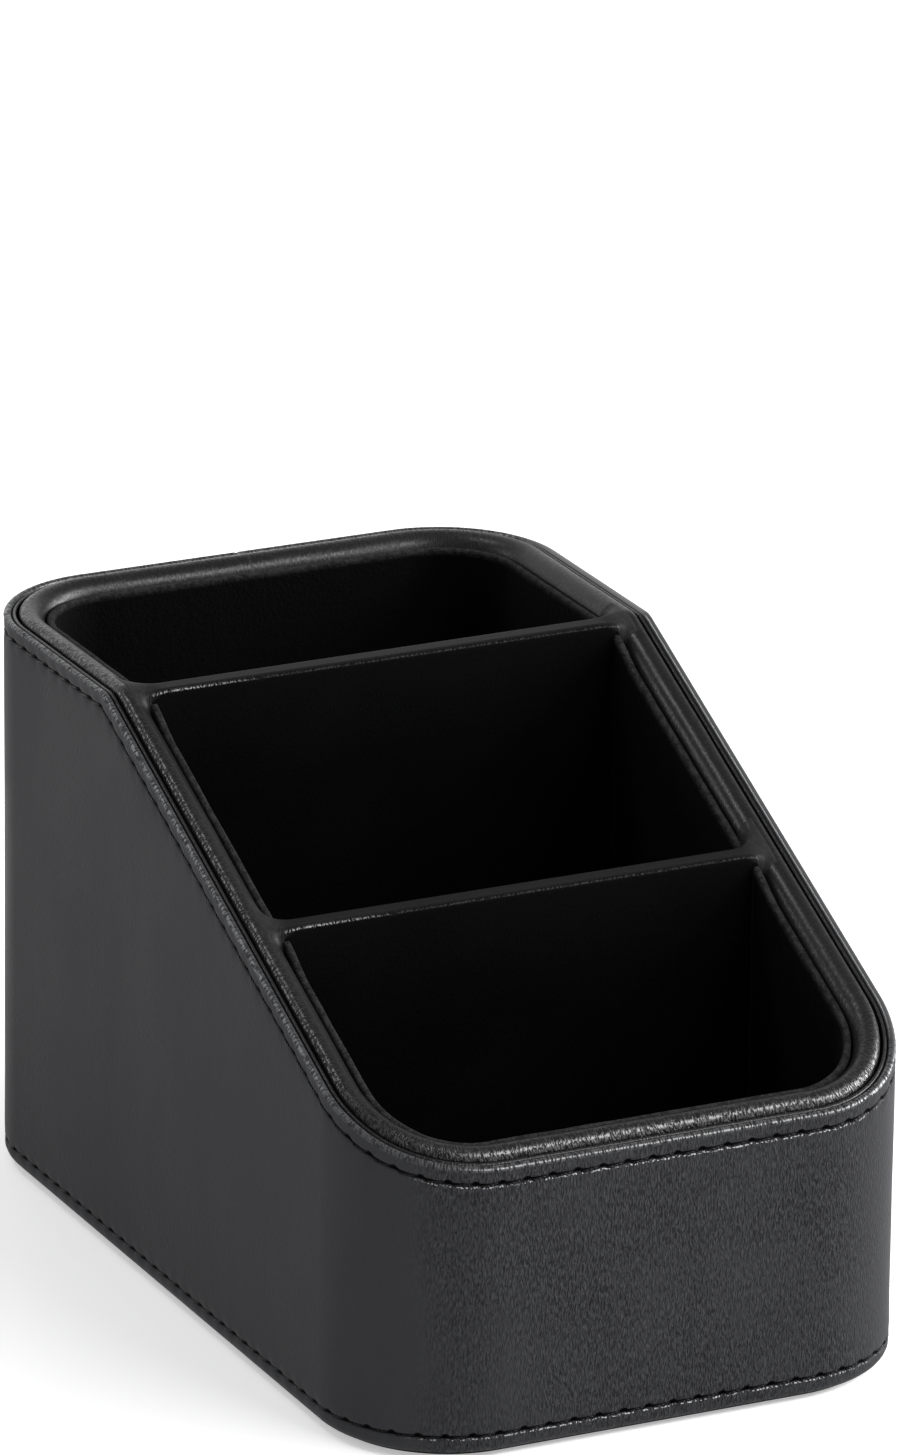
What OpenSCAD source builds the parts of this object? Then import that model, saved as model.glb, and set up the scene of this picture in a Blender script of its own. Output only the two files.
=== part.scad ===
// Remote control holder: a rounded leather-covered box whose rim slopes down from
// back to front, divided into three deep compartments.
// Millimetres. Origin at the middle of the underside, +Z up, the low front towards -Y.

/* [Overall size] */
// Width from side to side, over the leather
overall_width = 120; // [100:1:160]
// Depth from front to back, over the leather
overall_depth = 196; // [170:1:230]
// Height of the rim along the back
rear_height = 117.6; // [100:0.5:150]
// Radius of the two upright corners at the front
front_corner_radius = 27; // [18:0.5:34]
// Radius of the two upright corners at the back
rear_corner_radius = 25.6; // [18:0.5:34]

/* [Sloping rim] */
// Length of the level part of the rim, measured from the back face
level_length = 68.4; // [50:0.1:90]
// Slope of the sides' rim, in degrees
slope_angle = 24.7; // [12:0.1:30]
// Rounding where the level rim turns down into the slope
crest_radius = 6.7; // [3:0.1:20]
// Rounding where the slope flattens out at the front
valley_radius = 115; // [40:1:200]
// Distance behind the front face at which the slope starts to flatten out
valley_length = 15.3; // [5:0.1:30]

/* [Outer leather] */
// Thickness of the outer leather with its padding
wrap_thickness = 1.65; // [1.1:0.05:2.2]
// Thickness of the card that stiffens the outer leather
backing_thickness = 0.8; // [0.5:0.05:2]
// How far the leather's rolled top edge lies under the rim
wrap_drop = 0.8; // [0.4:0.05:2.5]
// How far the card's edge lies under the leather's rolled top edge
backing_drop = 0.55; // [0.2:0.05:2]
// Radius of the leather's rolled top edge
bead_radius = 0.8; // [0.4:0.05:1]
// Radius at which the leather rolls under the walls
bottom_roll_radius = 3; // [2.5:0.1:5]
// Width of the leather that is turned in under the base, from the outer face
hem_width = 14; // [11:0.5:25]
// Opening of the butt seam where the leather's two ends meet at the back
seam_gap = 0.3; // [0.1:0.05:1]

/* [Walls and rim] */
// Thickness of the wall boards
wall_thickness = 5.8; // [5:0.05:9]
// Open groove between the outer leather and the covered rim
groove_width = 0.5; // [0.3:0.05:1.5]
// Depth to which the boards' top edge is rebated for the rim's leather
rim_skirt_depth = 12; // [7:0.5:20]
// Thickness of the rim's leather down both sides of the wall
rim_leather = 0.8; // [0.5:0.05:1.2]
// Thickness of the rim's leather and its padding over the top of the wall
rim_crown = 2.8; // [2.2:0.05:4]
// Rounding of the rim on the groove side
rim_outer_radius = 2.1; // [1.2:0.1:3]
// How far down the rim rounds over on the compartments' side, from its ridge
rim_inner_depth = 4.6; // [3:0.1:6]

/* [Linings] */
// Thickness of the lining panels on the inside of the walls
lining_thickness = 1.5; // [1:0.1:3]
// How far the linings' top edge lies under the rim
lining_drop = 2.4; // [1.5:0.1:6]
// Thickness of the pad on each compartment's floor
floor_pad_thickness = 1.6; // [0.8:0.1:4]

/* [Dividers] */
// Thickness of each divider over its leather
divider_thickness = 5.2; // [4:0.1:10]
// Thickness of the dividers' leather
divider_leather = 0.8; // [0.5:0.05:1.2]
// Rounding of the dividers' top edges
divider_edge_radius = 1.3; // [0.6:0.1:1.6]
// Distance from the back face to the middle of the rear divider
rear_divider_distance = 69.6; // [45:0.1:80]
// Distance from the back face to the middle of the front divider
front_divider_distance = 131.2; // [110:0.1:145]

/* [Base] */
// Thickness of the base board
base_thickness = 4; // [3:0.1:8]
// Thickness of the felt pad under the base
felt_thickness = 0.8; // [0.5:0.1:3]
// Distance of the felt pad's edge from the outer face
felt_inset = 3.6; // [2:0.1:10]

/* [Fits] */
// Glue line left between one layer and the next
glue_gap = 0.15; // [0.05:0.01:0.25]

/* [Hidden] */
$fn = 128;
// Straight steps that stand for a quarter turn of a swept corner
corner_steps = 18;
// Straight steps that stand for the crest of a swept edge
crest_steps = 6;
// How far cutting shapes run past what they cut
overshoot = 1;

// Distances of each layer from the outer face, outside to inside
backing_outer = wrap_thickness + glue_gap;
backing_inner = backing_outer + backing_thickness;
board_outer = backing_inner + glue_gap;
board_inner = board_outer + wall_thickness;
rim_outer = backing_inner + groove_width;
rim_ridge = rim_outer + rim_outer_radius;
tongue_outer = rim_outer + rim_leather + glue_gap;
tongue_inner = board_inner - rim_leather - glue_gap;
lining_outer = board_inner + glue_gap;
lining_inner = lining_outer + lining_thickness;

// Heights of the layers of the base, bottom to top
hem_bottom = felt_thickness + glue_gap;
hem_top = hem_bottom + wrap_thickness;
roll_centre = hem_bottom + bottom_roll_radius;
base_bottom = hem_top + glue_gap;
base_top = base_bottom + base_thickness;
floor_level = base_top + glue_gap;
floor_top = floor_level + floor_pad_thickness;
// The walls stand as low as the rolled leather lets their outer edge go
roll_room = bottom_roll_radius - wrap_thickness - glue_gap;
roll_reach = max(bottom_roll_radius - board_outer, 0);
board_bottom = roll_centre - sqrt(roll_room * roll_room - roll_reach * roll_reach);

// Places along the depth
back_face = overall_depth / 2;
front_face = -overall_depth / 2;
crest_y = back_face - level_length;
crest_centre_y = crest_y + crest_radius * tan(slope_angle / 2);
valley_start_y = front_face + valley_length;
valley_start_z = rear_height - (crest_y - valley_start_y) * tan(slope_angle);
valley_centre_y = valley_start_y - valley_radius * sin(slope_angle);
valley_centre_z = valley_start_z + valley_radius * cos(slope_angle);
rear_divider_y = back_face - rear_divider_distance;
front_divider_y = back_face - front_divider_distance;
divider_length = overall_width - 2 * lining_outer;
divider_half = divider_thickness / 2 + glue_gap;

// Places where the straight walls end and the quarter-round corners begin
half_width = overall_width / 2;
front_corner_x = half_width - front_corner_radius;
rear_corner_x = half_width - rear_corner_radius;
front_corner_y = front_face + front_corner_radius;
rear_corner_y = back_face - rear_corner_radius;

// The crest bends over an arc near the rim and at one place at the foot of the rim's leather
crest_arc_start = crest_centre_y - crest_radius * sin(slope_angle);
crest_foot_y = crest_y + (rim_skirt_depth - glue_gap) * tan(slope_angle / 2);
crest_places = concat(
    [for (i = [0 : crest_steps]) crest_arc_start + (crest_centre_y - crest_arc_start) * i / crest_steps],
    crest_foot_y > crest_centre_y ? [crest_foot_y] : []);

// Height of the rim's slope at y, for a line that lies drop below the rim
function slope_z(y, drop) = rear_height + (y - crest_y) * tan(slope_angle) - drop / cos(slope_angle);

// Height of the rim at y, for a line that lies drop below it all the way round
function rim_z(y, drop) =
    let (crest_r = max(crest_radius - drop, 0))
    let (valley_end = valley_start_y + drop * sin(slope_angle))
    y < valley_end
        ? valley_centre_z - sqrt(pow(valley_radius + drop, 2) - pow(y - valley_centre_y, 2))
    : y < crest_centre_y && y > crest_centre_y - crest_r * sin(slope_angle)
        ? rear_height - crest_radius + sqrt(pow(crest_r, 2) - pow(y - crest_centre_y, 2))
    : min(rear_height - drop, slope_z(y, drop));

// Everything below the rim, seen from the side: y along, z up
module rim_side(drop) {
    valley_end_y = valley_start_y + drop * sin(slope_angle);
    valley_end_z = slope_z(valley_end_y, drop);
    corner_y = crest_y + drop * tan(slope_angle / 2);
    crest_r = crest_radius - drop;
    crest_reach = crest_r * tan(slope_angle / 2);
    far_back = back_face + overshoot;
    far_front = front_face - overshoot;
    difference() {
        polygon([[valley_end_y, 0], [far_back, 0], [far_back, rear_height - drop],
            [corner_y, rear_height - drop], [valley_end_y, valley_end_z]]);
        if (crest_r > 0)
            difference() {
                polygon([[corner_y, rear_height - drop + overshoot],
                    [corner_y + crest_reach, rear_height - drop + overshoot],
                    [corner_y + crest_reach, rear_height - drop],
                    [crest_centre_y, rear_height - crest_radius],
                    [corner_y - crest_reach * cos(slope_angle), slope_z(corner_y, drop)
                        - crest_reach * sin(slope_angle)],
                    [corner_y - crest_reach * cos(slope_angle) - overshoot * sin(slope_angle),
                        slope_z(corner_y, drop) - crest_reach * sin(slope_angle)
                        + overshoot * cos(slope_angle)]]);
                translate([crest_centre_y, rear_height - crest_radius]) circle(crest_r);
            }
    }
    difference() {
        translate([far_front, 0]) square([valley_end_y - far_front, valley_end_z]);
        translate([valley_centre_y, valley_centre_z]) circle(valley_radius + drop, $fn = 512);
    }
}

// Everything between a level and a line drop below the rim
module below_rim(drop, level) {
    intersection() {
        rotate([90, 0, 90])
            linear_extrude(overall_width + 2 * overshoot, center = true) rim_side(drop);
        translate([-overall_width / 2 - overshoot, front_face - overshoot, level])
            cube([overall_width + 2 * overshoot, overall_depth + 2 * overshoot, rear_height]);
    }
}

// The box's outline seen from above, moved in by inset
module outline(inset) {
    w = overall_width - 2 * inset;
    d = overall_depth - 2 * inset;
    front_r = front_corner_radius - inset;
    rear_r = rear_corner_radius - inset;
    for (side = [-1, 1]) {
        translate([side * (w / 2 - front_r), -d / 2 + front_r]) circle(front_r);
        translate([side * (w / 2 - rear_r), d / 2 - rear_r]) circle(rear_r);
    }
    translate([-w / 2, -d / 2 + front_r]) square([w, d - front_r - rear_r]);
    translate([-w / 2 + front_r, -d / 2]) square([w - 2 * front_r, front_r + overshoot]);
    translate([-w / 2 + rear_r, d / 2 - rear_r - overshoot]) square([w - 2 * rear_r, rear_r + overshoot]);
}

// A slab with the box's outline
module slab(inset, bottom, top) {
    translate([0, 0, bottom]) linear_extrude(top - bottom) outline(inset);
}

// A wall that follows the outline, up to a line drop below the rim
module wall(outer, inner, bottom, drop) {
    intersection() {
        difference() {
            slab(outer, bottom, rear_height);
            slab(inner, bottom - overshoot, rear_height + overshoot);
        }
        below_rim(drop, bottom - overshoot);
    }
}

// The wall boards before they are cut apart: full thickness below, a tongue along the top
module board_wall() {
    wall(board_outer, board_inner, board_bottom, rim_skirt_depth);
    wall(tongue_outer, tongue_inner, board_bottom, rim_crown + glue_gap);
}

// A block that reaches past the whole height, for cutting one stretch out of a wall
module stretch(from_x, to_x, from_y, to_y) {
    translate([from_x, from_y, -overshoot])
        cube([to_x - from_x, to_y - from_y, rear_height + 2 * overshoot]);
}

// Upright stations around the outline, each as a point on the outer face and its outward normal
function corner_stations(x, y, radius, start) =
    [for (i = [0 : corner_steps])
        let (a = start + 90 * i / corner_steps)
        [x + radius * cos(a), y + radius * sin(a), cos(a), sin(a)]];
// Stations where the crest bends the two long sides
function crest_stations(side) =
    let (last = len(crest_places) - 1)
    [for (i = [0 : last]) [side * half_width, crest_places[side > 0 ? i : last - i], side, 0]];
function stations(seam) = concat(
    [[-seam / 2, back_face, 0, 1]],
    corner_stations(-rear_corner_x, rear_corner_y, rear_corner_radius, 90),
    crest_stations(-1),
    corner_stations(-front_corner_x, front_corner_y, front_corner_radius, 180),
    corner_stations(front_corner_x, front_corner_y, front_corner_radius, 270),
    crest_stations(1),
    corner_stations(rear_corner_x, rear_corner_y, rear_corner_radius, 0),
    seam > 0 ? [[seam / 2, back_face, 0, 1]] : []);

// Points of a section: how far inside the outer face, and how far under the rim or at what level
function under_rim(inset, drop) = [inset, drop, true];
function at_level(inset, z) = [inset, z, false];
function arc_under_rim(inset, drop, across, down, from, to, steps) =
    [for (i = [0 : steps])
        let (a = from + (to - from) * i / steps)
        under_rim(inset - across * cos(a), drop - down * sin(a))];
function arc_at_level(inset, z, radius, from, to, steps) =
    [for (i = [0 : steps])
        let (a = from + (to - from) * i / steps)
        at_level(inset - radius * cos(a), z + radius * sin(a))];
function placed(station, point) =
    let (y = station[1] - station[3] * point[0])
    [station[0] - station[2] * point[0], y, point[2] ? rim_z(y, point[1]) : point[1]];

// An open end of a section of n points, as a strip of faces from its outer to its inner side
function end_faces(n) =
    [for (j = [0 : ceil(n / 2) - 2])
        let (far = n - 2 - j)
        far > j + 1 ? [j, j + 1, far, far + 1] : [j, j + 1, far + 1]];

// Carries a section around the outline; the section runs from its outer foot over the top
// to its inner foot. With a seam the two ends stay open to each other, and the section has
// as many points on its inner side as on its outer one.
module swept(section, seam = 0) {
    path = stations(seam);
    n = len(section);
    rings = len(path);
    last = seam > 0 ? rings - 2 : rings - 1;
    points = [for (s = path) for (p = section) placed(s, p)];
    sides = [for (i = [0 : last]) for (j = [0 : n - 1])
        let (a = i * n + j)
        let (b = i * n + (j + 1) % n)
        let (c = ((i + 1) % rings) * n + (j + 1) % n)
        let (d = ((i + 1) % rings) * n + j)
        each [[a, b, c], [a, c, d]]];
    ends = seam > 0 ? concat(
        [for (f = end_faces(n)) [for (i = [len(f) - 1 : -1 : 0]) f[i]]],
        [for (f = end_faces(n)) [for (j = f) (rings - 1) * n + j]]) : [];
    polyhedron(points, concat(sides, ends), convexity = 6);
}

// The outer leather: one band around the walls, rolled over at the top and under at the bottom
module outer_wrap() {
    // The two roundings of the rolled edge meet at its top, where only the first has a point
    inner_radius = wrap_thickness - bead_radius;
    section = concat(
        [at_level(hem_width, hem_bottom)],
        arc_at_level(bottom_roll_radius, roll_centre, bottom_roll_radius, -90, 0, 4),
        arc_under_rim(bead_radius, wrap_drop + bead_radius, bead_radius, bead_radius, 0, 90, 3),
        arc_under_rim(bead_radius, wrap_drop + inner_radius, inner_radius, inner_radius, 120, 180, 2),
        arc_at_level(bottom_roll_radius, roll_centre, bottom_roll_radius - wrap_thickness, 0, -90, 4),
        [at_level(hem_width, hem_top)]);
    color("#39393b") swept(section, seam_gap);
}

// The stiffening card inside the leather; its edge shows as a second line beside the groove
module wrap_backing() {
    top = wrap_drop + backing_drop;
    section = [at_level(backing_outer, roll_centre), under_rim(backing_outer, top),
        under_rim(backing_inner, top), at_level(backing_inner, roll_centre)];
    color("#2c2c2e") swept(section);
}

// The rim's face from the groove over its ridge to the compartments, or one that stands off it
function rim_face(stand_off, foot) =
    let (inner_reach = board_inner - rim_ridge + stand_off)
    let (inner_depth = rim_inner_depth + stand_off)
    let (outer_reach = rim_outer_radius + stand_off)
    concat(
        [under_rim(rim_outer - stand_off, foot)],
        arc_under_rim(rim_ridge, rim_outer_radius, outer_reach, outer_reach, 0, 90, 4),
        arc_under_rim(rim_ridge, rim_inner_depth, inner_reach, inner_depth, 105, 180, 5),
        [under_rim(board_inner + stand_off, foot)]);

// The leather strip folded over the walls' top edge, with a padded crown that falls away inwards
module rim_cover() {
    skirt = rim_skirt_depth - glue_gap;
    section = concat(
        rim_face(0, skirt),
        [under_rim(board_inner - rim_leather, skirt), under_rim(board_inner - rim_leather, rim_crown),
            under_rim(rim_outer + rim_leather, rim_crown), under_rim(rim_outer + rim_leather, skirt)]);
    color("#434345") swept(section);
}

// The wall boards: four straight ones and four quarter-round corners, butted end to end
module front_board() {
    color("#b08d62") intersection() {
        board_wall();
        stretch(-front_corner_x, front_corner_x, front_face, front_corner_y);
    }
}
module rear_board() {
    color("#b08d62") intersection() {
        board_wall();
        stretch(-rear_corner_x, rear_corner_x, rear_corner_y, back_face);
    }
}
module side_board(side) {
    edge = side * half_width;
    color("#b08d62") intersection() {
        board_wall();
        stretch(min(edge, edge - side * lining_outer), max(edge, edge - side * lining_outer),
            front_corner_y, rear_corner_y);
    }
}
module left_board() { side_board(-1); }
module right_board() { side_board(1); }
module front_corner(side) {
    color("#9c7a52") intersection() {
        board_wall();
        stretch(side > 0 ? front_corner_x : -half_width, side > 0 ? half_width : -front_corner_x,
            front_face, front_corner_y);
    }
}
module rear_corner(side) {
    color("#9c7a52") intersection() {
        board_wall();
        stretch(side > 0 ? rear_corner_x : -half_width, side > 0 ? half_width : -rear_corner_x,
            rear_corner_y, back_face);
    }
}
module front_left_corner() { front_corner(-1); }
module front_right_corner() { front_corner(1); }
module rear_left_corner() { rear_corner(-1); }
module rear_right_corner() { rear_corner(1); }

// A covered divider seen from the side, from a level up; its top is level with the rim at its middle
module divider_side(y, bottom) {
    half = divider_thickness / 2;
    top = rim_z(y, 0);
    round_bottom = top - divider_edge_radius;
    for (side = [-1, 1])
        translate([y + side * (half - divider_edge_radius), round_bottom])
            circle(divider_edge_radius, $fn = 32);
    translate([y - half, bottom]) square([2 * half, round_bottom - bottom]);
    translate([y - half + divider_edge_radius, bottom])
        square([2 * (half - divider_edge_radius), top - bottom]);
}
module divider_slab(y, bottom, length) {
    rotate([90, 0, 90]) linear_extrude(length, center = true) divider_side(y, bottom);
}

// The boards inside the dividers
module divider_board(y) {
    inset = divider_leather + glue_gap;
    half = divider_thickness / 2 - inset;
    color("#b08d62") translate([-divider_length / 2, y - half, floor_level])
        cube([divider_length, 2 * half, rim_z(y, 0) - inset - floor_level]);
}
module rear_divider_board() { divider_board(rear_divider_y); }
module front_divider_board() { divider_board(front_divider_y); }

// The dividers' leather, folded over the top of each board; its ends lie on the rim's inner slope
module divider_cover(y) {
    half = divider_thickness / 2 - divider_leather;
    end_foot = rim_z(y - divider_thickness / 2, rim_inner_depth);
    color("#3b3b3d") difference() {
        union() {
            divider_slab(y, floor_level, divider_length);
            divider_slab(y, end_foot, overall_width - 2 * rim_ridge);
        }
        swept(rim_face(glue_gap, rim_skirt_depth));
        translate([-divider_length / 2 - overshoot, y - half, floor_level - overshoot])
            cube([divider_length + 2 * overshoot, 2 * half,
                rim_z(y, 0) - divider_leather - floor_level + overshoot]);
    }
}
module rear_divider_cover() { divider_cover(rear_divider_y); }
module front_divider_cover() { divider_cover(front_divider_y); }

// The lining panels: one bent round three sides of each end compartment, two flat ones between
module lining(from_x, to_x, from_y, to_y) {
    color("#151516") intersection() {
        wall(lining_outer, lining_inner, floor_level, lining_drop);
        stretch(from_x, to_x, from_y, to_y);
    }
}
module rear_lining() { lining(-half_width, half_width, rear_divider_y + divider_half, back_face); }
module middle_lining_left() {
    lining(-half_width, 0, front_divider_y + divider_half, rear_divider_y - divider_half);
}
module middle_lining_right() {
    lining(0, half_width, front_divider_y + divider_half, rear_divider_y - divider_half);
}
module front_lining() { lining(-half_width, half_width, front_face, front_divider_y - divider_half); }

// The lined cards on the compartments' floors
module floor_pad(from_y, to_y) {
    color("#121213") intersection() {
        slab(lining_inner + glue_gap, floor_level, floor_top);
        stretch(-half_width, half_width, from_y, to_y);
    }
}
module rear_floor_pad() { floor_pad(rear_divider_y + divider_half, back_face); }
module middle_floor_pad() { floor_pad(front_divider_y + divider_half, rear_divider_y - divider_half); }
module front_floor_pad() { floor_pad(front_face, front_divider_y - divider_half); }

// The base board, set between the walls and rebated below for the leather that is turned in
module base_board() {
    color("#b08d62") {
        slab(lining_outer, base_bottom, base_top);
        slab(hem_width + glue_gap, hem_bottom, base_bottom);
    }
}

// The felt that the holder stands on; it covers the edge of the turned-in leather
module bottom_pad() {
    color("#1c1c1e") slab(felt_inset, 0, felt_thickness);
}

outer_wrap();
wrap_backing();
rim_cover();
front_board();
rear_board();
left_board();
right_board();
front_left_corner();
front_right_corner();
rear_left_corner();
rear_right_corner();
rear_divider_board();
front_divider_board();
rear_divider_cover();
front_divider_cover();
rear_lining();
middle_lining_left();
middle_lining_right();
front_lining();
rear_floor_pad();
middle_floor_pad();
front_floor_pad();
base_board();
bottom_pad();
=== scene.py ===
import math

import bmesh
import bpy
from mathutils import Matrix, Vector, noise


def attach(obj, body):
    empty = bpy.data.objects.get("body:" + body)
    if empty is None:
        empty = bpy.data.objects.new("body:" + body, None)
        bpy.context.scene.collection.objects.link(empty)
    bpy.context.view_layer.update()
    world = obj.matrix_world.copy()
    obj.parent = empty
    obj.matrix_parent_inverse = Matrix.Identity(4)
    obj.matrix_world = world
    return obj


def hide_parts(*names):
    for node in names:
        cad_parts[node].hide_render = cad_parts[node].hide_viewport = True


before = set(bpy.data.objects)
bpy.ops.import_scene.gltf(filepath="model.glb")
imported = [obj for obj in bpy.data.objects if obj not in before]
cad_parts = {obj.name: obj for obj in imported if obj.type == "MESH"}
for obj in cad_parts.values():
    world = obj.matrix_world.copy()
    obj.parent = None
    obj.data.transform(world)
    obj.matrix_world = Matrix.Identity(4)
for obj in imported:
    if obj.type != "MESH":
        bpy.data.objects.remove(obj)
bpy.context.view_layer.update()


# The boards. Fibreboard cut to size and glued into an open box with a base: four straight
# walls, four quarter-round corner pieces, two upright dividers and the base. The leather
# covers them all, so they keep the frame's shapes and only get their finish.

class Wire:
    """One socket of a finish. Arithmetic on it adds Math nodes."""

    def __init__(self, finish, socket):
        self.finish = finish
        self.socket = socket

    def math(self, operation, second=0.0, first=None):
        first = self if first is None else first
        return self.finish.add("ShaderNodeMath", {"operation": operation}, {0: first, 1: second})

    def __add__(self, other):
        return self.math("ADD", other)

    def __radd__(self, other):
        return self.math("ADD", other)

    def __sub__(self, other):
        return self.math("SUBTRACT", other)

    def __rsub__(self, other):
        return self.math("SUBTRACT", self, other)

    def __mul__(self, other):
        return self.math("MULTIPLY", other)

    def __rmul__(self, other):
        return self.math("MULTIPLY", other)

    def __pow__(self, power):
        return self.math("POWER", power)


class Finish:
    """A procedural material around one Principled shader, whose constants are given by name."""

    def __init__(self, name, **constants):
        self.material = bpy.data.materials.new(name)
        self.material.use_nodes = True
        self.nodes = self.material.node_tree.nodes
        self.shader = self.nodes["Principled BSDF"]
        for socket, value in constants.items():
            self.shader.inputs[socket.replace("_", " ")].default_value = value

    def add(self, kind, settings=None, values=None, out=0):
        node = self.nodes.new(kind)
        for key, value in (settings or {}).items():
            setattr(node, key, value)
        for key, value in (values or {}).items():
            if isinstance(value, Wire):
                self.material.node_tree.links.new(value.socket, node.inputs[key])
            else:
                node.inputs[key].default_value = value
        return Wire(self, node.outputs[out])

    def feed(self, socket, wire):
        self.material.node_tree.links.new(wire.socket, self.shader.inputs[socket])

    def place(self):
        """Where a point lies on the object."""
        return self.add("ShaderNodeTexCoord", out="Object")

    def stretched(self, place, scale):
        return self.add("ShaderNodeVectorMath", {"operation": "MULTIPLY"}, {0: place, 1: scale})

    def spread(self, first, second):
        """A flat place on the sheet, counted in wrinkles each way."""
        return self.add("ShaderNodeCombineXYZ", {}, {0: first, 1: second})

    def cloud(self, place, scale, detail=2.0, roughness=0.5, twist=0.0):
        return self.add("ShaderNodeTexNoise", {}, {
            "Vector": place, "Scale": scale, "Detail": detail, "Roughness": roughness,
            "Distortion": twist})

    def mark(self, name):
        """A number that the mesh keeps at each point."""
        return self.add("ShaderNodeAttribute", {"attribute_name": name}, out=2)

    def side(self, axis):
        return self.add("ShaderNodeSeparateXYZ", {}, {0: self.place()}, out=axis)

    def step(self, wire, low, high, to_low=0.0, to_high=1.0):
        """Carries one range of values smoothly to another."""
        return self.add("ShaderNodeMapRange", {"interpolation_type": "SMOOTHSTEP"}, {
            0: wire, 1: low, 2: high, 3: to_low, 4: to_high})

    def tint(self, amount, low, high):
        """A colour between two, by an amount from 0 to 1."""
        return self.over(amount, (*low, 1.0), (*high, 1.0))

    def over(self, amount, below, above):
        """One colour laid over another, by an amount from 0 to 1."""
        return self.add("ShaderNodeMix", {"data_type": "RGBA"}, {0: amount, 6: below, 7: above}, out=2)

    def relief(self, height, depth, strength=1.0):
        """Height from 0 to 1 becomes a relief of that depth in metres."""
        self.feed("Normal", self.add("ShaderNodeBump", {}, {
            "Height": height, "Distance": depth, "Strength": strength}))


def dress(piece, finish):
    piece.data.materials.clear()
    piece.data.materials.append(finish.material)


def fibreboard():
    finish = Finish("fibreboard", Roughness=0.78, Specular_IOR_Level=0.3)
    place = finish.place()
    fibres = finish.cloud(finish.stretched(place, (400.0, 400.0, 1600.0)), 1.0, 4.0, 0.6)
    flecks = finish.cloud(place, 1500.0, 2.0, 0.6)
    finish.feed("Base Color", finish.tint(
        fibres * 0.6 + flecks * 0.4, (0.28, 0.17, 0.085), (0.50, 0.35, 0.20)))
    finish.relief(fibres * 0.5 + flecks * 0.5, 0.00012, 0.5)
    return finish


board_finish = fibreboard()
for name in ("front_board", "rear_board", "left_board", "right_board", "front_left_corner",
             "front_right_corner", "rear_left_corner", "rear_right_corner",
             "rear_divider_board", "front_divider_board", "base_board"):
    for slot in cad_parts[name].material_slots:
        slot.material = board_finish.material


# The rim's leather. One strip of thin leather-like sheet folded over the top edge of the
# walls, over a little padding: a tight rounded ridge beside the groove, and a long fall
# towards the compartments. It is glued down both sides of the walls.

width, depth, rear_height = 0.120, 0.196, 0.1176
front_radius, rear_radius = 0.027, 0.0256
slope = math.radians(24.7)
crest_y, crest_radius = 0.0296, 0.0067
crest_centre_y = crest_y + crest_radius * math.tan(slope / 2)
valley_y, valley_radius = -0.0827, 0.115
valley_centre_y = valley_y - valley_radius * math.sin(slope)
valley_centre_z = (rear_height - (crest_y - valley_y) * math.tan(slope)
                   + valley_radius * math.cos(slope))
rim_outer, rim_ridge, rim_inner, rim_fall = 0.0031, 0.0048, 0.00855, 0.0046
rim_shoulder = 0.0017
rim_sheet, rim_crown, rim_skirt = 0.0008, 0.0028, 0.01185
rear_divider_y, front_divider_y = 0.0284, -0.0332
front_steps, rear_steps = 64, 61
# No step round a corner is as long as this, and nothing closer than a hair counts as apart
longest_step, hair = 0.02, 1e-5


def rim_height(y, drop):
    """Height of a line that runs a drop below the rim, seen from the side."""
    crest = max(crest_radius - drop, 0.0)
    if y < valley_y + drop * math.sin(slope):
        return valley_centre_z - math.sqrt((valley_radius + drop) ** 2 - (y - valley_centre_y) ** 2)
    if crest_centre_y - crest * math.sin(slope) < y < crest_centre_y:
        return rear_height - crest_radius + math.sqrt(crest ** 2 - (y - crest_centre_y) ** 2)
    return min(rear_height - drop,
               rear_height + (y - crest_y) * math.tan(slope) - drop / math.cos(slope))


def pick(piece, test, kind="verts"):
    """Selects, in edit mode, only what passes the test."""
    bpy.ops.mesh.select_mode(type={"verts": "VERT", "edges": "EDGE", "faces": "FACE"}[kind])
    bpy.ops.mesh.select_all(action="DESELECT")
    shape = bmesh.from_edit_mesh(piece.data)
    for item in getattr(shape, kind):
        item.select = test(item)
    shape.select_flush_mode()
    bmesh.update_edit_mesh(piece.data)


def new_piece(name, add, **how):
    """Adds a primitive with nothing else selected."""
    bpy.ops.object.select_all(action="DESELECT")
    add(**how)
    piece = bpy.context.object
    piece.name = name
    piece.data.name = name
    return piece


def outline_loop(name):
    """The box's outline as a loop of 888 points, eight to a stitch, left in edit mode."""
    piece = new_piece(name, bpy.ops.mesh.primitive_plane_add, size=1.0)
    bpy.ops.object.mode_set(mode="EDIT")
    bpy.ops.transform.resize(value=(width, depth, 1.0))
    pick(piece, lambda v: v.co.y < 0)
    bpy.ops.mesh.bevel(offset=front_radius, segments=front_steps, affect="VERTICES")
    pick(piece, lambda v: v.co.y > depth / 2 - hair)
    bpy.ops.mesh.bevel(offset=rear_radius, segments=rear_steps, affect="VERTICES")
    pick(piece, lambda f: True, "faces")
    bpy.ops.mesh.delete(type="ONLY_FACE")
    # The front, the back and the two long sides, each cut once and then each part again
    sides = ((9, 9, lambda e: e.verts[0].co.y < -depth / 2 + hair),
             (7, 12, lambda e: e.verts[0].co.y > depth / 2 - hair),
             (6, 30, lambda e: abs(e.verts[0].co.x) > width / 2 - hair))
    for first, second, there in sides:
        pick(piece, lambda e: e.calc_length() > longest_step and there(e), "edges")
        bpy.ops.mesh.subdivide(number_cuts=first)
        bpy.ops.mesh.subdivide(number_cuts=second)
    bpy.ops.mesh.select_mode(type="VERT")
    bpy.ops.mesh.select_all(action="SELECT")
    return piece


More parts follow.
